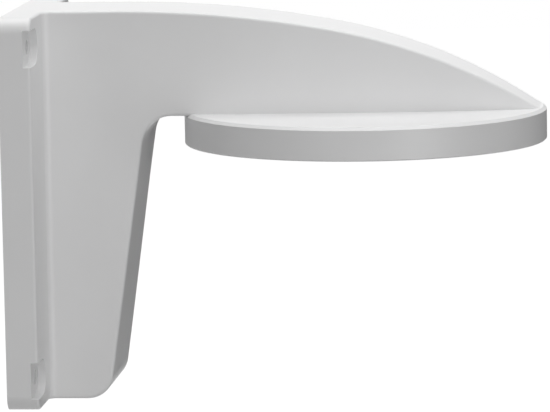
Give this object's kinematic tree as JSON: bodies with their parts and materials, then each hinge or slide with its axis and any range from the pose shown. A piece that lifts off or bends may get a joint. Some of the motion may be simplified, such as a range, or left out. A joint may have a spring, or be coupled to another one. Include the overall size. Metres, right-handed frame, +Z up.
{
  "type": "dome camera wall bracket",
  "caption": "L-shaped moulded wall bracket: ribbed wall plate, hollow cable arm and leg, and a round plate that carries a dome camera.",
  "frame": {"origin": "on the wall plane, in the middle of the four wall screws", "axes": "+X out of the wall along the arm, +Y to the side, +Z up; the round plate faces down along -Z"},
  "size_m": [0.174, 0.119, 0.128],
  "materials": {
    "shell": "smooth moulded white with a soft sheen"
  },
  "bodies": {
    "root": {"bracket": "shell"}
  },
  "joints": []
}
